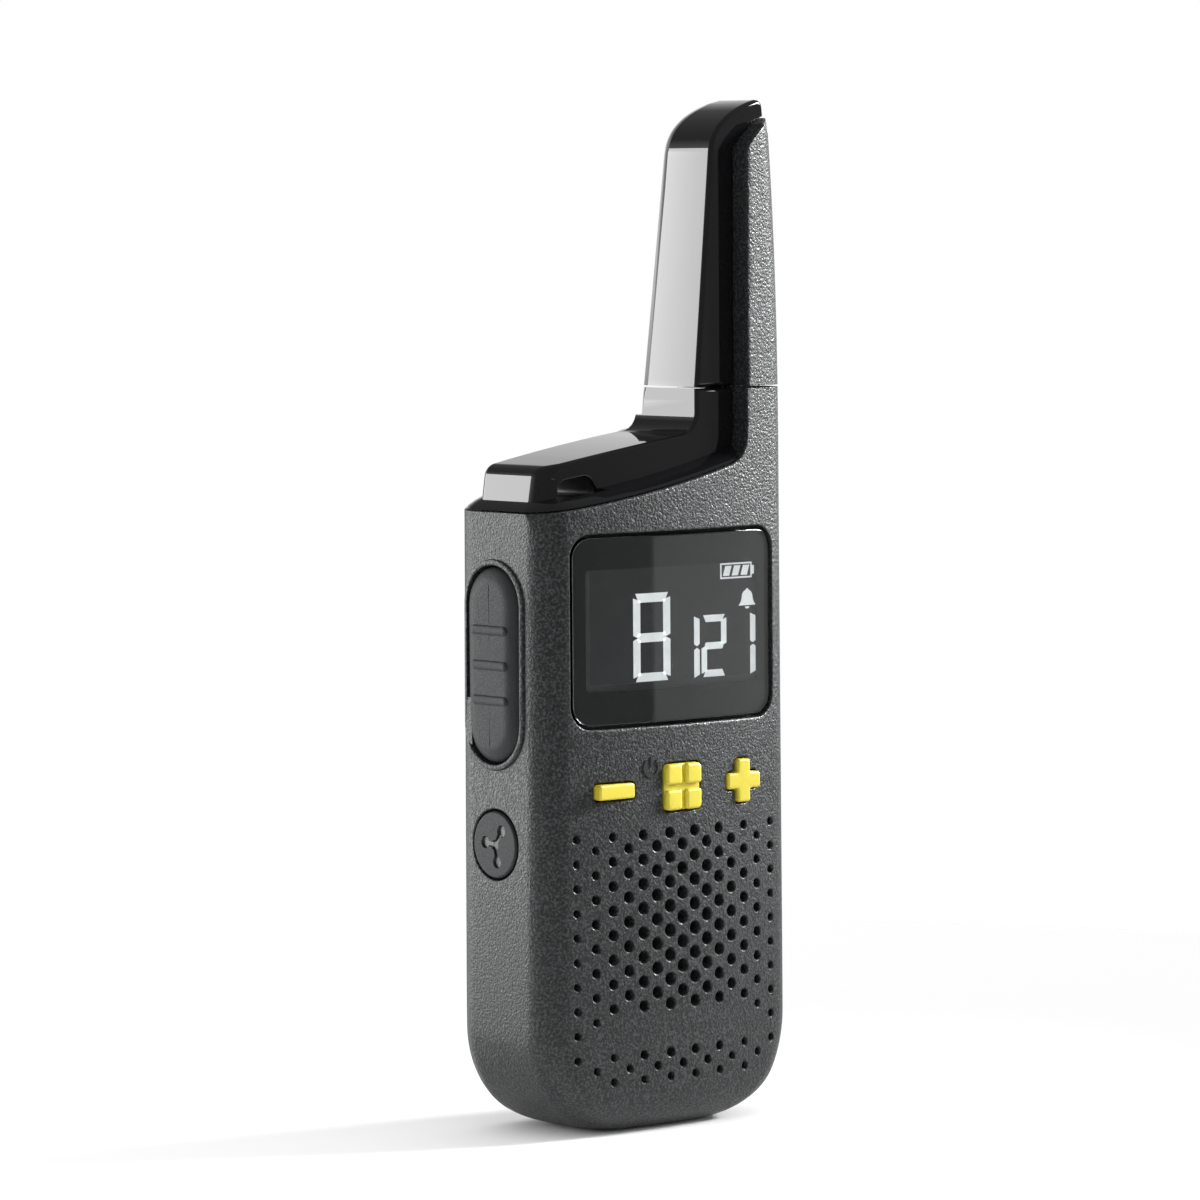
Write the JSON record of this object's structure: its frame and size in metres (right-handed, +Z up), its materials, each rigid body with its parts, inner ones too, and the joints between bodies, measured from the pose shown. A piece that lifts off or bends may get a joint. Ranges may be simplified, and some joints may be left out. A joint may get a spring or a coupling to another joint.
{
  "type": "handheld two-way radio",
  "caption": "Handheld two-way radio with a fixed antenna, segment display, yellow keys, push-to-talk key, belt clip and sliding battery door.",
  "frame": {"origin": "centre of the flat of the base, in the middle of the body's width and depth", "axes": "+Z up along the body towards the antenna, -Y out of the front face with the display and keys, +X to the right seen from the front"},
  "size_m": [0.057, 0.0373, 0.1755],
  "materials": {
    "grained_plastic": "spark-eroded fine grain, satin",
    "gloss_black": "mirror-polished black",
    "lens_black": "polished smoked lens with a printed black border",
    "display_glass": "dark segment display with white segments",
    "key_yellow": "satin yellow moulding with rounded edges",
    "button_rubber": "smooth satin moulded rubber",
    "seal_rubber": "soft black silicone",
    "speaker_cloth": "fine black woven cloth",
    "inner_black": "plain moulded black plastic",
    "clip_black": "fine matte black plastic",
    "board_green": "solder-masked circuit board",
    "contact_brass": "plated contact metal",
    "cell_wrap": "plain printed-free shrink wrap",
    "steel_parts": "nickel-plated steel"
  },
  "bodies": {
    "root": {"front_housing": "grained_plastic", "rear_housing": "grained_plastic", "shoulder_trim": "gloss_black", "antenna_sleeve": "grained_plastic", "antenna_trim": "gloss_black", "antenna_core": "inner_black", "antenna_coil": "contact_brass", "antenna_contact": "contact_brass", "display_lens": "lens_black", "lens_gasket": "seal_rubber", "lcd_panel": "display_glass", "lcd_holder": "inner_black", "lcd_connector": "seal_rubber", "keypad_membrane": "seal_rubber", "ptt_switch": "steel_parts", "side_switch": "steel_parts", "usb_socket": "steel_parts", "headset_jack": "inner_black", "board_screw_left": "steel_parts", "board_screw_right": "steel_parts", "main_board": "board_green", "rf_shield": "steel_parts", "speaker_frame": "steel_parts", "speaker_cone": "speaker_cloth", "speaker_magnet": "steel_parts", "speaker_mesh": "speaker_cloth", "microphone": "steel_parts", "microphone_boot": "seal_rubber", "battery_cell_left": "cell_wrap", "battery_cell_middle": "cell_wrap", "battery_cell_right": "cell_wrap", "battery_spring_left": "steel_parts", "battery_spring_middle": "steel_parts", "battery_spring_right": "steel_parts", "battery_plate": "steel_parts", "clip_screw_lower": "steel_parts", "clip_screw_upper": "steel_parts", "clip_bracket": "clip_black", "clip_pin": "steel_parts", "clip_spring": "steel_parts", "housing_seal": "seal_rubber", "housing_screw_1": "steel_parts", "housing_screw_2": "steel_parts", "housing_screw_3": "steel_parts", "housing_screw_4": "steel_parts"},
    "key_minus": {"key_minus": "key_yellow"},
    "key_menu": {"key_menu": "key_yellow"},
    "key_plus": {"key_plus": "key_yellow"},
    "ptt_button": {"ptt_button": "button_rubber"},
    "side_button": {"side_button": "button_rubber"},
    "port_cover": {"port_cover": "button_rubber"},
    "battery_door": {"battery_door": "grained_plastic"},
    "clip_arm": {"clip_arm": "clip_black"}
  },
  "joints": [
    {"name": "ptt_press", "type": "slide", "parent": "root", "child": "ptt_button", "axis": [1, 0, 0], "range_m": [0, 0.0008], "stiffness_N_per_m": 3000, "springref_m": -0.0003},
    {"name": "side_press", "type": "slide", "parent": "root", "child": "side_button", "axis": [1, 0, 0], "range_m": [0, 0.0006], "stiffness_N_per_m": 2500, "springref_m": -0.0003},
    {"name": "minus_press", "type": "slide", "parent": "root", "child": "key_minus", "axis": [0, 1, 0], "range_m": [0, 0.0005], "stiffness_N_per_m": 2500, "springref_m": -0.0003},
    {"name": "menu_press", "type": "slide", "parent": "root", "child": "key_menu", "axis": [0, 1, 0], "range_m": [0, 0.0005], "stiffness_N_per_m": 2500, "springref_m": -0.0003},
    {"name": "plus_press", "type": "slide", "parent": "root", "child": "key_plus", "axis": [0, 1, 0], "range_m": [0, 0.0005], "stiffness_N_per_m": 2500, "springref_m": -0.0003},
    {"name": "port_flap", "type": "hinge", "parent": "root", "child": "port_cover", "pos_m": [0.02687, -0.0023, 0.07565], "axis": [0, 1, 0], "range_deg": [0, 100], "stiffness_Nm_per_rad": 0.002, "springref_deg": -11.46},
    {"name": "door_slide", "type": "slide", "parent": "root", "child": "battery_door", "axis": [0, 0, -1], "range_m": [0, 0.01]},
    {"name": "clip_open", "type": "hinge", "parent": "root", "child": "clip_arm", "pos_m": [0, 0.0199, 0.0885], "axis": [1, 0, 0], "range_deg": [0, 15], "stiffness_Nm_per_rad": 0.25, "springref_deg": -11.46}
  ]
}
